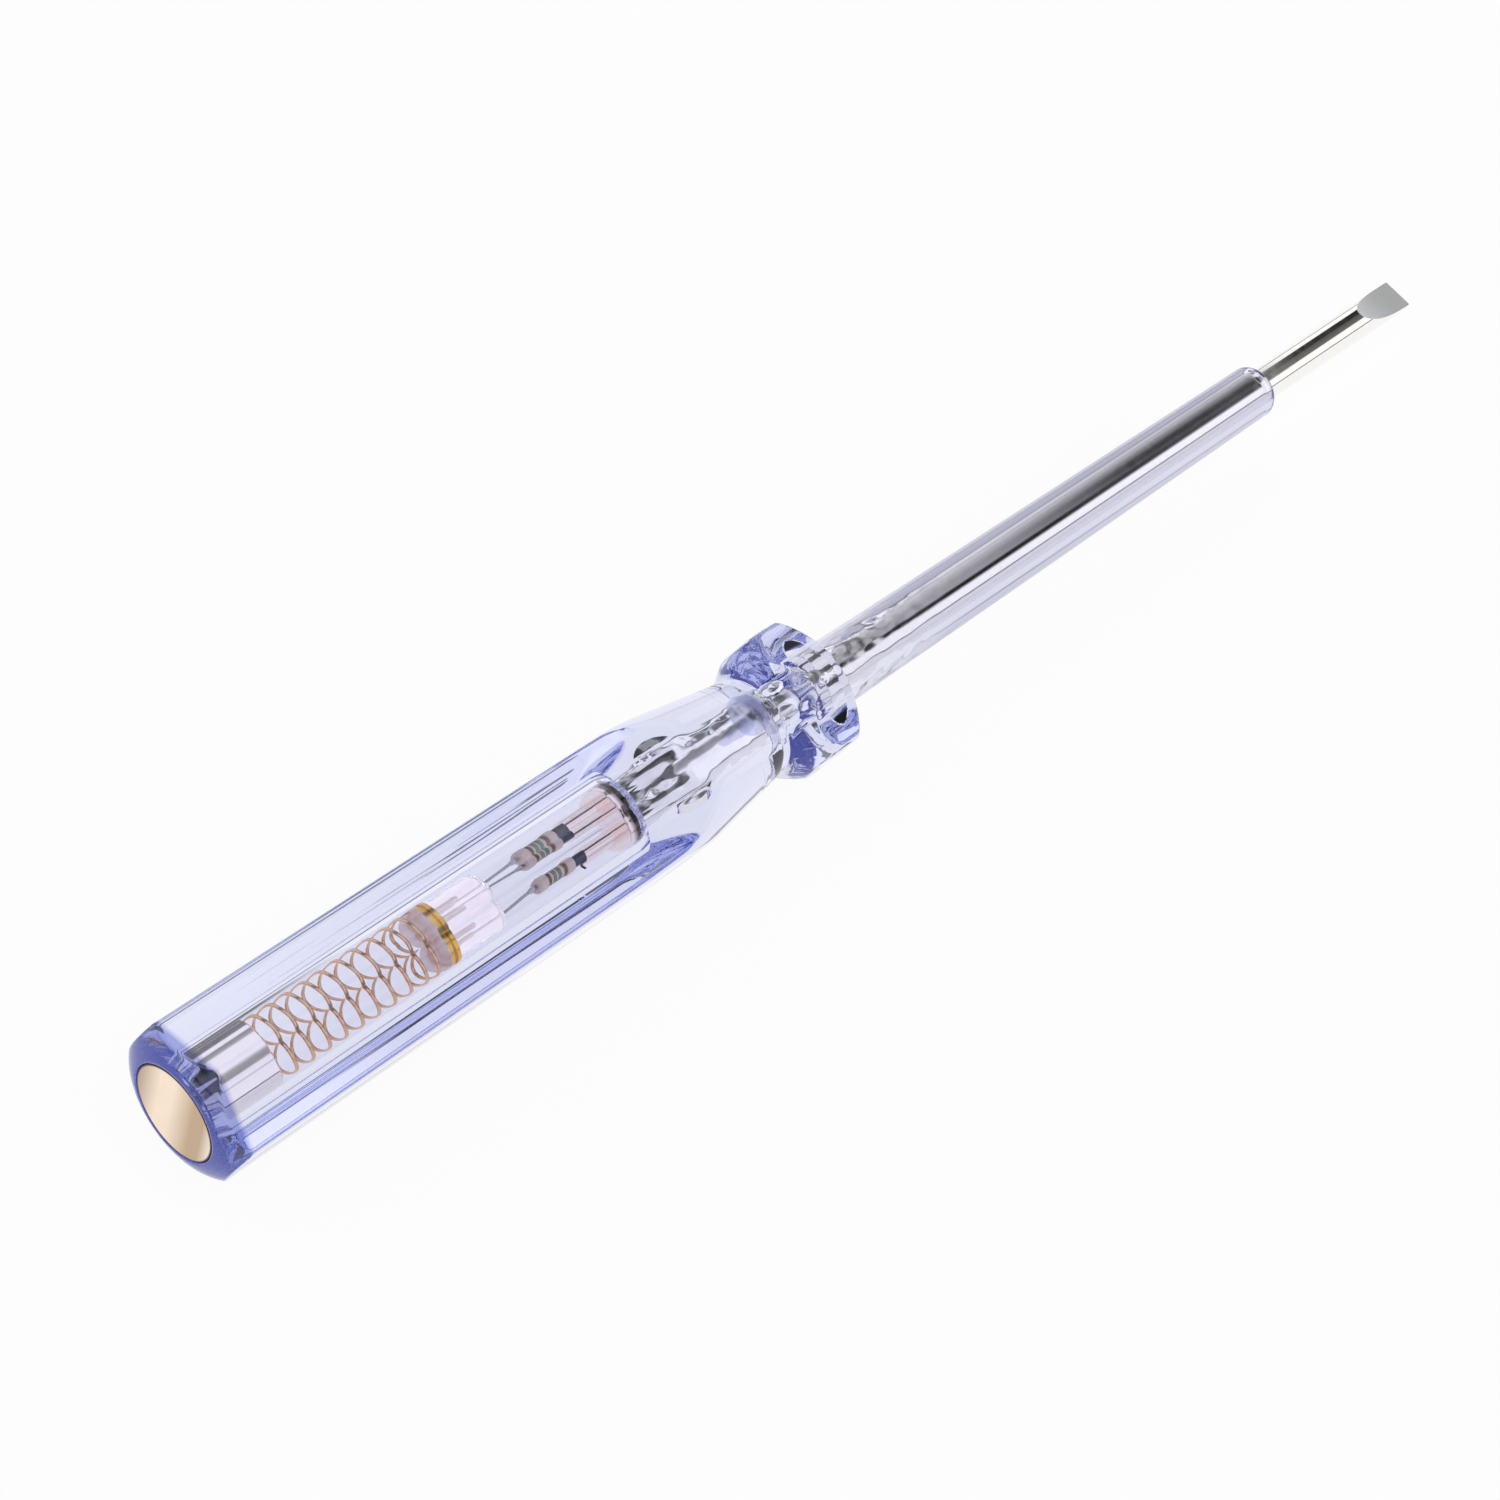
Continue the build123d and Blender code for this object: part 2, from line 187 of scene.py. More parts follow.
# Clear moulded handle with its neck, collar and sleeve. Its hole is a little wider than the shaft, because
# metal behind a thin film of air looks as bright as the real one. The steps are how many points the grid
# has along each stretch of the profile, and round each rounded edge and flat of the hexagon.
handle = dict(
    flatRadius=7.25, edgeRound=1.4, cornerCover=0.3, creaseBlend=0.16,
    rearFaceRadius=5.35, rearRoundX=0.75, rearRoundRadius=7.0, rearRoundLength=2.3,
    gripLength=55.4, gripEndLength=2, neckX=73.0, neckRadius=5.68, grooveDepth=0.3, grooveLength=1.3,
    flankX=76.8, flankRadius=7.1, crestX=80.2, crestLength=1.2,
    shoulderX=82.45, shoulderRadius=7.45, frontX=82.9, frontRadius=6.4, dome=0.35,
    sleeveRootRadius=3.69, sleeveTipRadius=3.14, sleeveTipX=161.0, sleeveEndRound=1.1,
    holeRadius=2.06, boreRadius=3.35, boreEndX=54.65, seatRadius=5.13, seatDepth=1.12,
    steps=dict(rearFace=3, rearRound=34, grip=14, gripEnd=4, taper=64, groove=4, flank=40, crest=6,
               shoulder=24, front=10, sleeve=40, sleeveEnd=12, tip=2, hole=30, boreEnd=3, bore=40, seat=4,
               edge=18, flat=18),
)


# Distance from the axis to the centre of a rounded edge's circle, and the angle from the corner to where
# that circle meets the flat
def hexagonEdge():
    flat, rounding = handle["flatRadius"], handle["edgeRound"]
    centre = (flat - rounding) / np.cos(pi / 6)
    return centre, np.arctan2(rounding * np.sin(pi / 6), centre + rounding * np.cos(pi / 6))


# Radius of the hexagon at an angle: on a flat it is the flat's distance over the cosine of the angle from
# the flat's middle, and on a rounded edge it is the far crossing of the ray with the edge's circle
def hexagonRadius(angles):
    centre, tangent = hexagonEdge()
    fromCorner = np.abs((angles + pi / 6) % (pi / 3) - pi / 6)
    onFlat = handle["flatRadius"] / np.cos(pi / 6 - fromCorner)
    reach = np.sqrt(np.maximum(handle["edgeRound"]**2 - (centre * np.sin(fromCorner)) ** 2, 0))
    return np.where(fromCorner < tangent, centre * np.cos(fromCorner) + reach, onFlat)


# Angles round the axis, close together on the six rounded edges and even on the flats between
def hexagonAngles():
    tangent = hexagonEdge()[1]
    edge = np.linspace(-tangent, tangent, handle["steps"]["edge"], endpoint=False)
    face = np.linspace(tangent, pi / 3 - tangent, handle["steps"]["flat"], endpoint=False)
    one = np.concatenate([edge, face])
    return np.concatenate([one + k * pi / 3 for k in range(6)])


# Turned profile as a closed loop of station and radius, from the touch cap's seat over the outside and
# back through the bore. A stretch starts where the last one ends. It has its count of steps, a point on
# its way where it is an arc, and its end.
def handleProfile():
    h, steps = handle, handle["steps"]
    turned = hexagonEdge()[0] + h["edgeRound"] + h["cornerCover"]
    neck, root, hole, bore = h["neckRadius"], h["sleeveRootRadius"], h["holeRadius"], h["boreRadius"]
    grooveX, grooveFloor = h["neckX"], neck - h["grooveDepth"]
    grooveEnd = grooveX + h["grooveLength"]
    rootX = h["frontX"] + h["dome"] * (1 - root / h["frontRadius"])
    tipX, tipRadius, endRound = h["sleeveTipX"], h["sleeveTipRadius"], h["sleeveEndRound"]
    slant = endRound * (1 - 1 / sqrt(2))
    seatRim = (0, h["seatRadius"])
    stretches = [
        (steps["rearFace"], (0, h["rearFaceRadius"])),
        (steps["rearRound"], (h["rearRoundX"], h["rearRoundRadius"]), (h["rearRoundLength"], turned)),
        (steps["grip"], (h["gripLength"] - h["gripEndLength"], turned)),
        (steps["gripEnd"], (h["gripLength"], turned)),
        (steps["taper"], (grooveX, neck)),
        (steps["groove"], (grooveX + h["grooveDepth"], grooveFloor)),
        (steps["groove"], (grooveEnd, grooveFloor)),
        (steps["groove"], (grooveEnd + h["grooveDepth"], neck)),
        (steps["flank"], (h["flankX"], h["flankRadius"]), (h["crestX"], turned)),
        (steps["crest"], (h["crestX"] + h["crestLength"], turned)),
        (steps["shoulder"], (h["shoulderX"], h["shoulderRadius"]), (h["frontX"], h["frontRadius"])),
        (steps["front"], (rootX, root)),
        (steps["sleeve"], (tipX - endRound, tipRadius)),
        (steps["sleeveEnd"], (tipX - slant, tipRadius - slant), (tipX, tipRadius - endRound)),
        (steps["tip"], (tipX, hole)),
        (steps["hole"], (h["boreEndX"], hole)),
        (steps["boreEnd"], (h["boreEndX"], bore)),
        (steps["bore"], (h["seatDepth"], bore)),
        (steps["seat"], (h["seatDepth"], h["seatRadius"])),
        (steps["seat"], seatRim),
    ]
    loop, last = [], seatRim
    for count, *points in stretches:
        shape = arcPoints if len(points) == 2 else linePoints
        loop.append(shape(last, *points, count))
        last = points[-1]
    return np.concatenate(loop)


# Clear cellulose acetate butyrate with a violet-blue toner, injection moulded and polished by its mould:
# a glossy surface, a faint drag of flow lines along the tool, and a tint that deepens with the way light
# takes inside. The rounded rear edge has a painted deep violet shade in its colour, the rear of the hole
# round the shaft is wavy, and the neck has a frosted pad.
clearPlastic = dict(
    index=1.48, roughness=0.01, tint="2961E3", tintPerMetre=15.0, skin="F3F3FA",
    rearPaintedShade="707BC8", rearShadeFrom=1.7, rearShadeTo=2.3,
    flowStretch=0.02, flowWidth=0.9, flowHeight=0.004, flowDetail=2.0,
    waveStretch=0.5, waveSize=1.7, waveHeight=0.55, waveDetail=1.0, waveFrom=104, waveTo=86,
    waveOuterRadius=2.6, waveInnerRadius=2.4,
    padCentre=(71.0, -2.3, 5.3), padSize=(2.6, 2.4, 1.6), padFade=1.08, padRoughness=0.2, padSkin="B9BFE2",
)


def clearPlasticMaterial():
    p = clearPlastic
    material, tree, output = newMaterial("clearVioletPlastic")
    flow = addNode(tree, "ShaderNodeTexNoise", {
        "Vector": mappedPlace(tree, scale=(p["flowStretch"], 1, 1)), "Scale": 1 / (p["flowWidth"] * mm),
        "Detail": p["flowDetail"]})
    waves = addNode(tree, "ShaderNodeTexNoise", {
        "Vector": mappedPlace(tree, scale=(p["waveStretch"], 1, 1)), "Scale": 1 / (p["waveSize"] * mm),
        "Detail": p["waveDetail"]})
    inHole = addNode(tree, "ShaderNodeMapRange", {
        "Value": distanceAlong(tree), "From Min": p["waveOuterRadius"] * mm,
        "From Max": p["waveInnerRadius"] * mm})
    atRear = addNode(tree, "ShaderNodeMapRange", {
        "Value": distanceAlong(tree, alongTool), "From Min": p["waveFrom"] * mm,
        "From Max": p["waveTo"] * mm})
    here = addNode(tree, "ShaderNodeMath", {0: inHole.outputs[0], 1: atRear.outputs[0]}, operation="MULTIPLY")
    waves = addNode(tree, "ShaderNodeMath", {
        0: waves.outputs["Fac"], 1: here.outputs[0]}, operation="MULTIPLY")
    height = addNode(tree, "ShaderNodeMath", {
        0: waves.outputs[0], 1: p["waveHeight"] / p["flowHeight"], 2: flow.outputs["Fac"]},
        operation="MULTIPLY_ADD")
    bump = addNode(tree, "ShaderNodeBump", {
        "Height": height.outputs[0], "Strength": 1.0, "Distance": p["flowHeight"] * mm})
    # The pad is an ellipsoid of its size about its centre, on whose surface this distance is 1
    centre = [length * mm for length in p["padCentre"]]
    pad = mappedPlace(tree, centre, [1 / (length * mm) for length in p["padSize"]])
    away = addNode(tree, "ShaderNodeVectorMath", {0: pad}, operation="LENGTH")
    rough = addNode(tree, "ShaderNodeMapRange", {
        "Value": away.outputs["Value"], "From Min": 1.0, "From Max": p["padFade"],
        "To Min": p["padRoughness"], "To Max": p["roughness"]})
    # Painted shade: before these stations the rounded rear edge takes a deep violet, darker than the
    # plastic's own
    ahead = addNode(tree, "ShaderNodeMapRange", {
        "Value": distanceAlong(tree, alongTool), "From Min": p["rearShadeFrom"] * mm,
        "From Max": p["rearShadeTo"] * mm})
    skin = addNode(tree, "ShaderNodeMix", {
        0: ahead.outputs[0], 6: hexColour(p["rearPaintedShade"]), 7: hexColour(p["skin"])}, data_type="RGBA")
    frosted = addNode(tree, "ShaderNodeMapRange", {
        "Value": away.outputs["Value"], "From Min": p["padFade"], "From Max": 1.0})
    skin = addNode(tree, "ShaderNodeMix", {
        0: frosted.outputs[0], 6: skin.outputs[2], 7: hexColour(p["padSkin"])}, data_type="RGBA")
    shader = addNode(tree, "ShaderNodeBsdfPrincipled", {
        "Base Color": skin.outputs[2], "Transmission Weight": 1.0, "IOR": p["index"],
        "Roughness": rough.outputs[0], "Normal": bump.outputs["Normal"]})
    volume = addNode(tree, "ShaderNodeVolumeAbsorption", {
        "Color": hexColour(p["tint"]), "Density": p["tintPerMetre"]})
    tree.links.new(shader.outputs[0], output.inputs["Surface"])
    tree.links.new(volume.outputs[0], output.inputs["Volume"])
    return material


# A point of the handle is the turned profile's station and the lesser of its radius and the hexagon's,
# with the crease between them blended over a short distance
def buildHandle():
    profile, angles = handleProfile(), hexagonAngles()
    stations, turned = profile[:, 0, None], profile[:, 1, None]
    hexagon = hexagonRadius(angles)[None, :]
    near = np.maximum(handle["creaseBlend"] - np.abs(turned - hexagon), 0) / handle["creaseBlend"]
    radius = np.minimum(turned, hexagon) - near**2 * handle["creaseBlend"] / 4
    stations = np.broadcast_to(stations, radius.shape)
    points = np.stack([stations, radius * np.cos(angles), radius * np.sin(angles)], -1)
    piece = gridObject("clearHandle", points[:, ::-1], True, clearPlasticMaterial())
    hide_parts("handle")
    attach(piece, "tool")


buildHandle()
print("handle made")

# How finely the lines of every metal and the clouds in its roughness are drawn, and the range of those
# clouds
metalGrain = dict(lineDetail=3.0, cloudDetail=4.0, cloudFrom=0.3, cloudTo=0.7)


# A metal with fine scratches or turning lines. Its dictionary gives its colour, its roughness, the size
# of its lines along the three axes, how high they stand, and how much and how coarsely the roughness
# wanders. Each of its stains and painted light is a second colour and roughness that come in between two
# distances along a direction, or from the axis where it names none: some are the metal's own stains and
# finishes, and some are painted highlight and shade. Dents are broad waves in the surface that come in
# between two stations. Real lines are too fine to show, so they are drawn coarser.
def metalMaterial(name, metal):
    material, tree, output = newMaterial(name)
    stretch = [1 / (size * mm) for size in metal["lineSize"]]
    lines = addNode(tree, "ShaderNodeTexNoise", {
        "Vector": mappedPlace(tree, scale=stretch), "Scale": 1.0, "Detail": metalGrain["lineDetail"]})
    height = lines.outputs["Fac"]
    if "dents" in metal:
        dents = metal["dents"]
        pits = addNode(tree, "ShaderNodeTexNoise", {
            "Vector": mappedPlace(tree, scale=(dents["stretch"], 1, 1)), "Scale": 1 / (dents["size"] * mm),
            "Detail": dents["detail"]})
        here = addNode(tree, "ShaderNodeMapRange", {
            "Value": distanceAlong(tree, alongTool), "From Min": dents["start"] * mm,
            "From Max": dents["end"] * mm})
        pits = addNode(tree, "ShaderNodeMath", {
            0: pits.outputs["Fac"], 1: here.outputs[0]}, operation="MULTIPLY")
        height = addNode(tree, "ShaderNodeMath", {
            0: pits.outputs[0], 1: dents["height"] / metal["lineHeight"], 2: height},
            operation="MULTIPLY_ADD").outputs[0]
    bump = addNode(tree, "ShaderNodeBump", {
        "Height": height, "Strength": 1.0, "Distance": metal["lineHeight"] * mm})
    clouds = addNode(tree, "ShaderNodeTexNoise", {
        "Vector": mappedPlace(tree), "Scale": 1 / (metal["mottleSize"] * mm),
        "Detail": metalGrain["cloudDetail"]})
    rough = addNode(tree, "ShaderNodeMapRange", {
        "Value": clouds.outputs["Fac"], "From Min": metalGrain["cloudFrom"],
        "From Max": metalGrain["cloudTo"], "To Min": metal["roughness"] - metal["mottle"],
        "To Max": metal["roughness"] + metal["mottle"]}).outputs[0]
    tone = hexColour(metal["colour"])
    # Real stains and finishes and painted highlight and shade all mix in here
    for patch in metal.get("stainsAndPaintedLight", ()):
        share = addNode(tree, "ShaderNodeMapRange", {
            "Value": distanceAlong(tree, patch.get("way")), "From Min": patch["start"] * mm,
            "From Max": patch["end"] * mm}).outputs[0]
        tone = addNode(tree, "ShaderNodeMix", {
            0: share, 6: tone, 7: hexColour(patch["colour"])}, data_type="RGBA").outputs[2]
        rough = addNode(tree, "ShaderNodeMapRange", {
            "Value": share, "To Min": rough, "To Max": patch.get("roughness", metal["roughness"])}).outputs[0]
    shader = addNode(tree, "ShaderNodeBsdfPrincipled", {
        "Base Color": tone, "Metallic": 1.0, "Roughness": rough, "Normal": bump.outputs["Normal"]})
    tree.links.new(shader.outputs[0], output.inputs["Surface"])
    return material


# Contact spring of round wire, wound from the barrel to the lamp
spring = dict(
    rearX=8.85, frontX=29.27, wireRadius=0.19, coilRadius=2.8, turns=10.09, leadTurns=0.045, leadLength=0.98,
    openTurns=9.0, openPitch=1.96, closePitch=0.82, coilPoints=640, leadPoints=12, ringPoints=14,
)

# Phosphor bronze wire, drawn and coiled: a warm line with a small bright glint on each turn
springWire = dict(
    colour="E4BC98", roughness=0.07, lineSize=(0.2, 0.2, 0.2), lineHeight=0.0001, mottle=0.03, mottleSize=0.5,
)


# The centre line's station rises evenly with the turn in the open part and slower in the last turn, and
# its angle is the turn. The tube's ring at each point is the wire's radius round the radial and the cross
# direction.
def buildSpring():
    s = spring
    turn = np.linspace(0, s["turns"] - 2 * s["leadTurns"], s["coilPoints"])
    station = np.where(turn < s["openTurns"], turn * s["openPitch"],
                       s["openTurns"] * s["openPitch"] + (turn - s["openTurns"]) * s["closePitch"])
    angle = 2 * pi * (turn + s["leadTurns"])
    station = s["rearX"] + s["leadLength"] + station
    lead = np.linspace(0, 1, s["leadPoints"])
    bend = lead**2 * (3 - 2 * lead) * s["leadTurns"] * 2 * pi
    station = np.concatenate([s["rearX"] + lead[:-1] * s["leadLength"], station,
                              s["frontX"] - lead[-2::-1] * s["leadLength"]])
    angle = np.concatenate([bend[:-1], angle, 2 * pi * s["turns"] - bend[-2::-1]])
    centre = np.stack([station, s["coilRadius"] * np.cos(angle), s["coilRadius"] * np.sin(angle)], -1)
    along = np.gradient(centre, axis=0)
    along /= np.linalg.norm(along, axis=1, keepdims=True)
    radial = np.stack([0 * angle, np.cos(angle), np.sin(angle)], -1)
    radial -= (radial * along).sum(1, keepdims=True) * along
    radial /= np.linalg.norm(radial, axis=1, keepdims=True)
    across = np.cross(along, radial)
    ring = np.linspace(0, 2 * pi, s["ringPoints"], endpoint=False)[None, :, None]
    rim = np.cos(ring) * radial[:, None] + np.sin(ring) * across[:, None]
    points = centre[:, None] + s["wireRadius"] * rim
    wire = metalMaterial("phosphorBronzeWire", springWire)
    piece = gridObject("contactSpring", points[:, ::-1], False, wire)
    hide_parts("contact_spring")
    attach(piece, "tool")
    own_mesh(piece)


buildSpring()
print("spring made")

capSheenWay = (0, -0.97, -0.23)  # the way across the touch face along which its painted highlight and shade change

metals = dict(
    # Tool steel, nickel plated and polished: a mirror with faint lines along it, dented in the wavy hole,
    # and satin on the ground blade, which lies below the round surface
    nickelPlate=dict(
        nodes=["blade_shaft"], colour="F8F6F2", roughness=0.06, lineSize=(6, 0.25, 0.25), lineHeight=0.0006,
        mottle=0.03, mottleSize=1.2, stainsAndPaintedLight=[dict(colour="EEF1F1", roughness=0.5, start=1.985, end=1.965)],
        dents=dict(size=1.3, stretch=0.4, detail=1.0, height=0.14, start=108, end=84)),
    # Brass, brushed across: a warm satin face, with painted highlight and shade as soft bands across it
    # and a painted shade at its rim
    brushedBrass=dict(
        nodes=["touch_cap"], colour="FFEBD4", roughness=0.3, lineSize=(1, 3.5, 0.25), lineHeight=0.005,
        mottle=0.06, mottleSize=2.5,
        # Painted highlight and shade in bands across the face, and painted shade at the rim
        stainsAndPaintedLight=[dict(colour="C2A894", way=capSheenWay, start=-2.2, end=-4.6, roughness=0.3),
                dict(colour="C8AB8B", way=capSheenWay, start=-0.5, end=2.2, roughness=0.3),
                dict(colour="FFF1E2", way=capSheenWay, start=3.5, end=4.9, roughness=0.3),
                dict(colour="4A3840", start=4.78, end=4.92, roughness=0.4)]),
    # Brass tube, drawn and nickel plated: a bright mirror with faint lines along it
    nickelBarrel=dict(
        nodes=["cap_barrel"], colour="F2ECE8", roughness=0.07, lineSize=(4, 0.2, 0.2), lineHeight=0.0006,
        mottle=0.03, mottleSize=1.0),
    # Brass, pressed and gilt: a deep yellow ring with a paler rear face
    giltBrass=dict(
        nodes=["lamp_cap"], colour="EFC463", roughness=0.24, lineSize=(0.3, 0.3, 0.3), lineHeight=0.0005,
        mottle=0.04, mottleSize=0.5, stainsAndPaintedLight=[dict(colour="DCC9C6", way=alongTool, start=29.39, end=29.31)]),
    # Nickel rod of a glow lamp, drawn and coated: a dull warm grey
    electrodeNickel=dict(
        nodes=["electrode_rear", "electrode_front"], colour="D6CCCA", roughness=0.35,
        lineSize=(0.1, 0.1, 0.1), lineHeight=0.001, mottle=0.08, mottleSize=0.3),
    # Copper wire, drawn and tinned: grey with a soft sheen
    tinnedWire=dict(
        nodes=["lamp_lead", "resistor_lead"], colour="A9A8AC", roughness=0.22, lineSize=(1.0, 0.1, 0.1),
        lineHeight=0.0008, mottle=0.05, mottleSize=0.3),
    # Tin solder, set from a drop: grey and slightly frosted
    solder=dict(
        nodes=["solder_joint"], colour="B6B8BE", roughness=0.3, lineSize=(0.3, 0.3, 0.3), lineHeight=0.002,
        mottle=0.08, mottleSize=0.3),
    # Copper, turned: rosy and bright, with a painted shade that darkens the flange at its front to brown
    rosyCopper=dict(
        nodes=["front_contact"], colour="FAEAE5", roughness=0.12, lineSize=(0.6, 0.2, 0.2), lineHeight=0.0002,
        # Painted shade: dark brown on the flange at the front
        mottle=0.05, mottleSize=0.6, stainsAndPaintedLight=[dict(colour="4A3833", way=alongTool, start=53.1, end=53.7)]),
    # Copper wire, cut and tarnished: almost black
    tarnishedWire=dict(
        nodes=["lead_tail"], colour="4A444C", roughness=0.35, lineSize=(0.5, 0.1, 0.1), lineHeight=0.0008,
        mottle=0.08, mottleSize=0.3),
)

# Lacquers and plastics, each a colour mottled with a darker one under a clear gloss
lacquers = dict(
    # Lacquer, dipped over the resistor's ceramic: a pinkish cream
    resistorCoat=dict(nodes=["resistor_body"], colour="FFF1EA", darker="F3D6CC"),
    # Enamel, rolled on as narrow bands: dull colours, a little uneven
    bandBrown=dict(nodes=["resistor_band_1"], colour="86604C", darker="6E4A3A"),
    bandGreyGreen=dict(nodes=["resistor_band_2"], colour="96A08E", darker="84907C"),
    bandGreen=dict(nodes=["resistor_band_3"], colour="86A089", darker="748F79"),
    bandRedBrown=dict(nodes=["resistor_band_4"], colour="986A5C", darker="84584C"),
    # Plastic tube, shrunk on the wire: a dark navy
    navySleeve=dict(nodes=["insulating_sleeve"], colour="2F3763", darker="20264A"),
)
lacquerFinish = dict(roughness=0.25, mottleSize=0.5, mottleDetail=3.0)


def lacquerMaterial(name, lacquer):
    material, tree, output = newMaterial(name)
    clouds = addNode(tree, "ShaderNodeTexNoise", {
        "Vector": mappedPlace(tree), "Scale": 1 / (lacquerFinish["mottleSize"] * mm),
        "Detail": lacquerFinish["mottleDetail"]})
    tone = addNode(tree, "ShaderNodeMix", {
        0: clouds.outputs["Fac"], 6: hexColour(lacquer["colour"]), 7: hexColour(lacquer["darker"])},
        data_type="RGBA")
    shader = addNode(tree, "ShaderNodeBsdfPrincipled", {
        "Base Color": tone.outputs[2], "Roughness": lacquerFinish["roughness"]})
    tree.links.new(shader.outputs[0], output.inputs["Surface"])
    return material


# Soda glass of the lamp, drawn, and misted inside in cloudy patches: clear with a rosy cast and a painted
# glow, a faint light of its own, though the lamp is not lit
lampGlass = dict(
    colour="FFFCFD", transmission=0.9, index=1.5, paintedGlow="FFF4F7", paintedGlowStrength=0.11,
    cloudSize=1.2, cloudDetail=3.0, cloudFrom=0.3, cloudTo=0.7, clearRoughness=0.02, mistRoughness=0.2,
)


def lampGlassMaterial():
    g = lampGlass
    material, tree, output = newMaterial("mistedLampGlass")
    clouds = addNode(tree, "ShaderNodeTexNoise", {
        "Vector": mappedPlace(tree), "Scale": 1 / (g["cloudSize"] * mm), "Detail": g["cloudDetail"]})
    rough = addNode(tree, "ShaderNodeMapRange", {
        "Value": clouds.outputs["Fac"], "From Min": g["cloudFrom"], "From Max": g["cloudTo"],
        "To Min": g["clearRoughness"], "To Max": g["mistRoughness"]})
    # The emission is the painted glow: the lamp is not lit
    shader = addNode(tree, "ShaderNodeBsdfPrincipled", {
        "Base Color": hexColour(g["colour"]), "Transmission Weight": g["transmission"], "IOR": g["index"],
        "Roughness": rough.outputs[0], "Emission Color": hexColour(g["paintedGlow"]),
        "Emission Strength": g["paintedGlowStrength"]})
    tree.links.new(shader.outputs[0], output.inputs["Surface"])
    return material


for name, metal in metals.items():
    dress(metalMaterial(name, metal), *metal["nodes"])
for name, lacquer in lacquers.items():
    dress(lacquerMaterial(name, lacquer), *lacquer["nodes"])
dress(lampGlassMaterial(), "lamp_glass")
print("materials assigned")

# White table with a painted shadow of the tool, seen only through the plastic. Each shade stop is a place
# across the tool and the colour of the painted shadow there. The painted shadow comes in between two
# stations along the tool, and behind them the table is white.
whiteTable = dict(
    drop=0.05, size=4.0, glow=0.94, white="FAFAFA", shadeFrom=85, shadeTo=110,
    shadeStops=((-10, "ECEDF4"), (-3.2, "E6E7F0"), (-2.4, "9094A8"), (-1.2, "D8D9E4"), (4, "BCBDCB"),
                (20, "B4B5C4")),
)


# The table gives back light by its diffuse white, which holds the tool's shadow. To the camera and in
# metal it is mostly a plain white, and seen through plastic it mostly shows the painted shadow. The mix
# for plastic comes last, because light that goes through plastic counts as glossy too.
def buildTable():
    t = whiteTable
    material, tree, output = newMaterial("whiteTable")
    path = addNode(tree, "ShaderNodeLightPath")
    seen = addNode(tree, "ShaderNodeMath", {
        0: path.outputs["Is Camera Ray"], 1: path.outputs["Is Glossy Ray"]}, operation="ADD")
    share = addNode(tree, "ShaderNodeMath", {0: seen.outputs[0], 1: t["glow"]}, operation="MULTIPLY")
    through = addNode(tree, "ShaderNodeMath", {
        0: path.outputs["Is Transmission Ray"], 1: t["glow"]}, operation="MULTIPLY")
    along = addNode(tree, "ShaderNodeSeparateXYZ", {0: mappedPlace(tree)})
    front = addNode(tree, "ShaderNodeMapRange", {
        "Value": along.outputs["X"], "From Min": t["shadeFrom"] * mm, "From Max": t["shadeTo"] * mm})
    first, last = t["shadeStops"][0][0], t["shadeStops"][-1][0]
    across = addNode(tree, "ShaderNodeMapRange", {
        "Value": along.outputs["Y"], "From Min": first * mm, "From Max": last * mm})
    stops = [((y - first) / (last - first), hexColour(code)) for y, code in t["shadeStops"]]
    dark = addNode(tree, "ShaderNodeValToRGB", {"Fac": across.outputs[0]}, stops)
    # Painted shadow of the tool, for rays that come through the plastic
    shade = addNode(tree, "ShaderNodeMix", {
        0: front.outputs[0], 6: (1, 1, 1, 1), 7: dark.outputs[0]}, data_type="RGBA")
    white = addNode(tree, "ShaderNodeBsdfDiffuse", {"Color": hexColour(t["white"])})
    glow = addNode(tree, "ShaderNodeEmission", {"Color": (1, 1, 1, 1), "Strength": 1.0})
    below = addNode(tree, "ShaderNodeEmission", {"Color": shade.outputs[2], "Strength": 1.0})
    mix = addNode(tree, "ShaderNodeMixShader", {
        0: share.outputs[0], 1: white.outputs[0], 2: glow.outputs[0]})
    mix = addNode(tree, "ShaderNodeMixShader", {
        0: through.outputs[0], 1: mix.outputs[0], 2: below.outputs[0]})
    tree.links.new(mix.outputs[0], output.inputs["Surface"])
    half = t["size"] / 2
    height = -handle["flatRadius"] * mm - t["drop"] * mm
    corners = [(-half, -half, height), (half, -half, height), (half, half, height), (-half, half, height)]
    mesh = bpy.data.meshes.new("table")
    mesh.from_pydata(corners, [], [(0, 1, 2, 3)])
    mesh.materials.append(material)
    table = bpy.data.objects.new("table", mesh)
    bpy.context.scene.collection.objects.link(table)


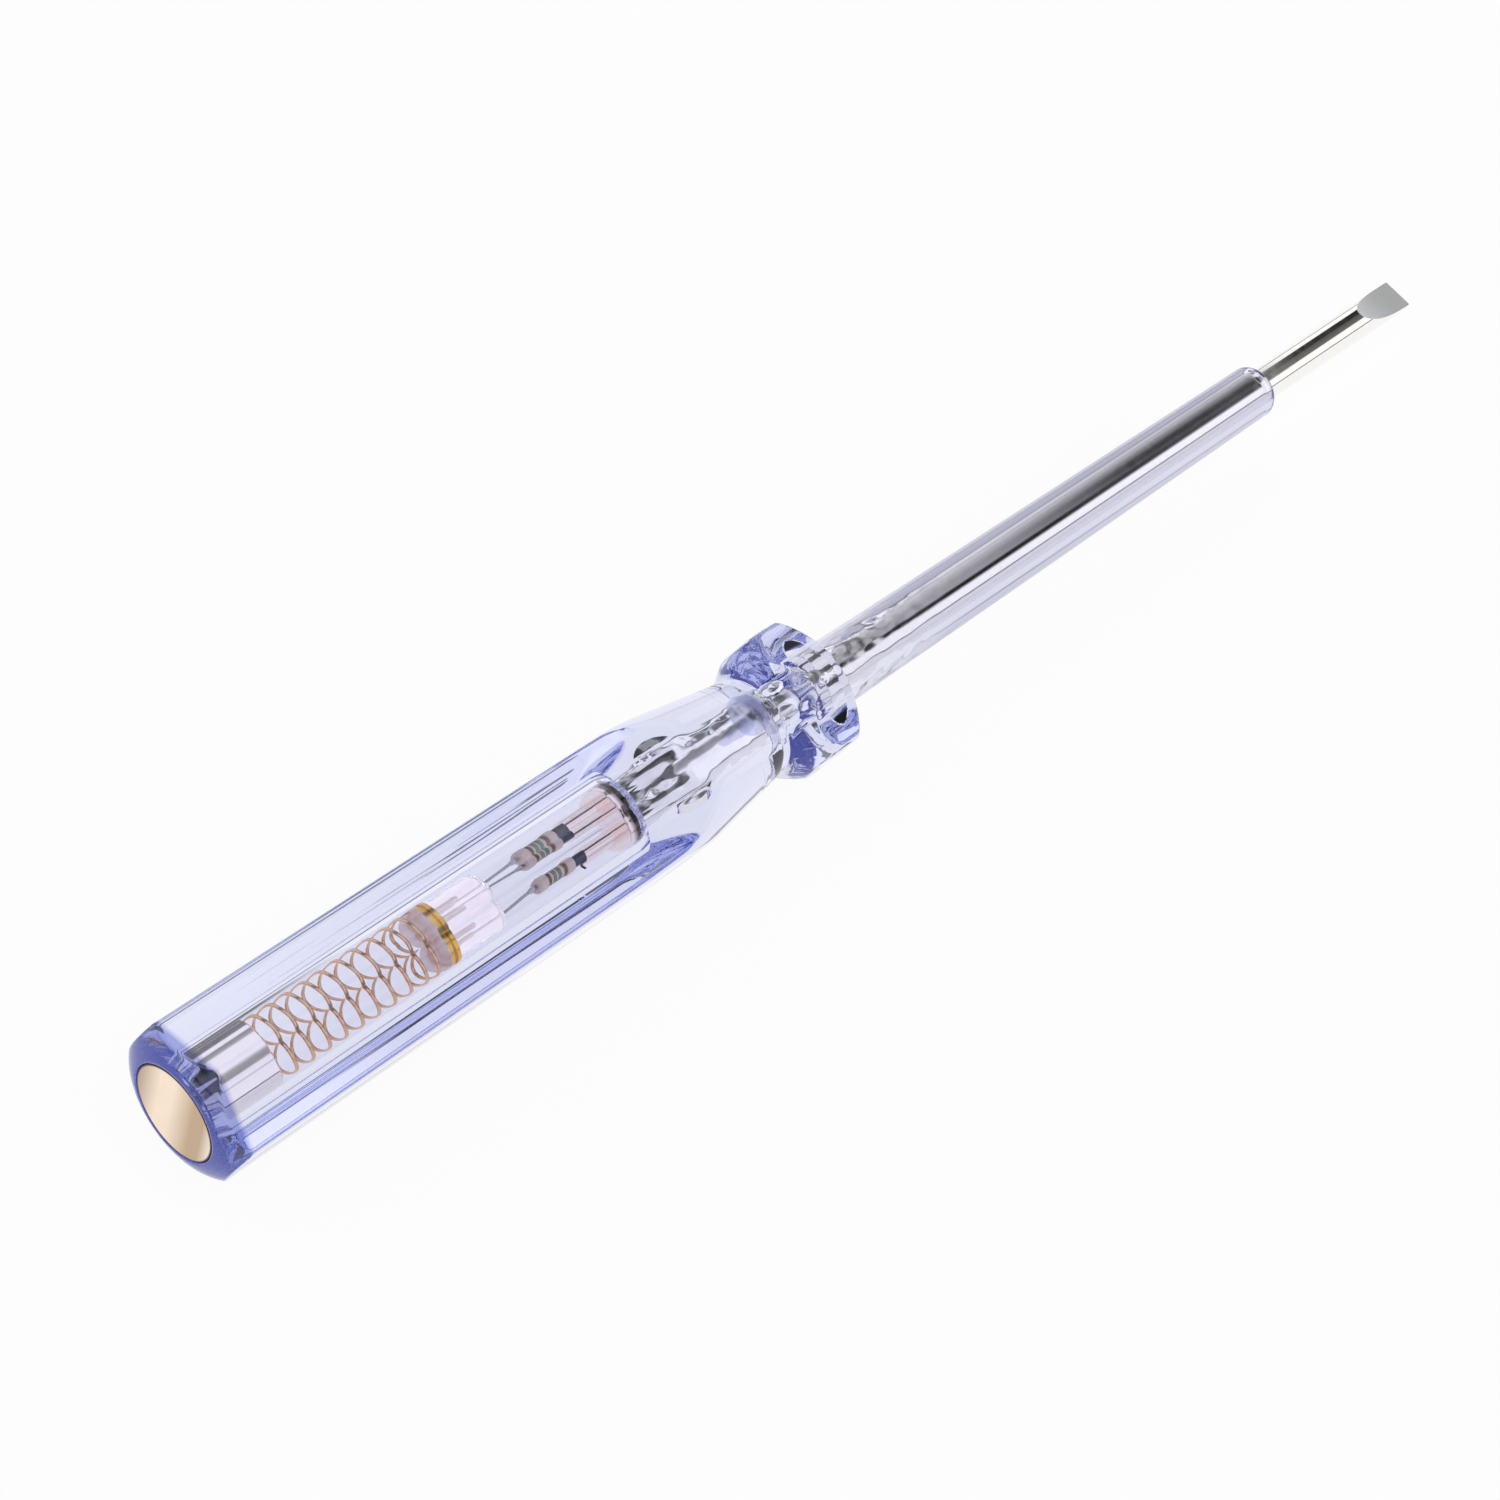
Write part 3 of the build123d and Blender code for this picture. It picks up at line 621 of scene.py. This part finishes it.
# White surround with long cards along the tool, dark and bright, as a product photographer hangs them to
# draw bands on polished metal. A card is told by the direction that it is seen in. It has its full
# strength between the second values of near and far, which are the direction's X, and is gone at their
# first ones. Its stops are angles round the tool in degrees, from the far side over the top, each with
# what the card makes of the light there: below 1 it is darker than the surround, above 1 brighter.
surround = dict(
    light=1.08, horizonHeight=0.09, horizonLight=0.25,
    cards=(
        dict(near=(0.12, 0.02), far=(-0.98, -0.9),  # behind the tool, for the touch cap
             stops=((0, 1), (62, 1), (68, 0.04), (96, 0.1), (104, 1), (180, 1))),
        dict(near=(0.1, 0.35), far=(0.46, 0.43),  # for the barrel
             stops=((0, 1), (14, 1), (22, 0.15), (44, 0.15), (54, 1.2), (72, 1.2), (80, 0.3), (100, 0.45),
                    (112, 1.2), (170, 1.2), (180, 1))),
        dict(near=(0.43, 0.46), far=(0.62, 0.58),  # for the rest of the grip
             stops=((0, 1), (66, 1), (70, 0.03), (88, 0.03), (94, 0.09), (108, 0.12), (113, 1), (180, 1))),
        dict(near=(0.54, 0.548), far=(0.605, 0.59),  # for the neck
             stops=((0, 1), (18, 1), (26, 0.3), (44, 0.16), (66, 0.24), (74, 1), (180, 1))),
        dict(near=(0.56, 0.68), far=(0.728, 0.718),  # for the sleeve
             stops=((0, 0.6), (24, 0.6), (40, 0.36), (57, 0.22), (73, 0.07), (90, 0.05), (105, 0.1),
                    (124, 0.06), (133, 0.4), (140, 1.15), (180, 1.15))),
        dict(near=(0.59, 0.61), far=(0.69, 0.66),  # for the dark core of the sleeve
             stops=((0, 1), (106, 1), (114, 0.06), (126, 0.06), (134, 1), (180, 1))),
        dict(near=(0.718, 0.728), far=(0.97, 0.9),  # for the bare shaft
             stops=((0, 1), (46, 1), (51, 0.02), (84, 0.03), (92, 0.09), (126, 0.14), (132, 1), (180, 1))),
    ),
)


# The surround is its light times what each card makes of it, a dark grey up to just over the horizon, and
# white to the camera
def buildSurround():
    world = bpy.data.worlds.new("studio")
    bpy.context.scene.world = world
    world.use_nodes = True
    tree = world.node_tree
    tree.nodes.clear()
    output = tree.nodes.new("ShaderNodeOutputWorld")
    direction = addNode(tree, "ShaderNodeTexCoord").outputs["Generated"]
    parts = addNode(tree, "ShaderNodeSeparateXYZ", {0: direction})
    angle = addNode(tree, "ShaderNodeMath", {
        0: parts.outputs["Z"], 1: parts.outputs["Y"]}, operation="ARCTAN2")
    turned = addNode(tree, "ShaderNodeMath", {0: angle.outputs[0], 1: pi}, operation="DIVIDE")
    light = surround["light"]
    for card in surround["cards"]:
        stops = [(degrees / 180, (level, level, level, 1)) for degrees, level in card["stops"]]
        shade = addNode(tree, "ShaderNodeValToRGB", {"Fac": turned.outputs[0]}, stops)
        near, far = (addNode(tree, "ShaderNodeMapRange", {
            "Value": parts.outputs["X"], "From Min": gone, "From Max": full})
            for gone, full in (card["near"], card["far"]))
        over = addNode(tree, "ShaderNodeMath", {0: near.outputs[0], 1: far.outputs[0]}, operation="MULTIPLY")
        loss = addNode(tree, "ShaderNodeMath", {0: shade.outputs[0], 1: 1.0}, operation="SUBTRACT")
        left = addNode(tree, "ShaderNodeMath", {0: loss.outputs[0], 1: over.outputs[0], 2: 1.0},
                       operation="MULTIPLY_ADD")
        light = addNode(tree, "ShaderNodeMath", {
            0: light, 1: left.outputs[0]}, operation="MULTIPLY").outputs[0]
    low = addNode(tree, "ShaderNodeMath", {
        0: parts.outputs["Z"], 1: surround["horizonHeight"]}, operation="LESS_THAN")
    level = surround["horizonLight"]
    tone = addNode(tree, "ShaderNodeMix", {
        0: low.outputs[0], 6: light, 7: (level, level, level, 1)}, data_type="RGBA")
    path = addNode(tree, "ShaderNodeLightPath")
    tone = addNode(tree, "ShaderNodeMix", {
        0: path.outputs["Is Camera Ray"], 6: tone.outputs[2], 7: (1, 1, 1, 1)}, data_type="RGBA")
    sky = addNode(tree, "ShaderNodeBackground", {"Color": tone.outputs[2], "Strength": 1.0})
    tree.links.new(sky.outputs[0], output.inputs["Surface"])


buildTable()
buildSurround()

lightSteps = 32  # light crosses many faces of the clear plastic on its way

scene = bpy.context.scene
scene.view_settings.view_transform = "Standard"
scene.cycles.max_bounces = lightSteps
scene.cycles.transmission_bounces = lightSteps
scene.cycles.glossy_bounces = lightSteps
print("studio ready")
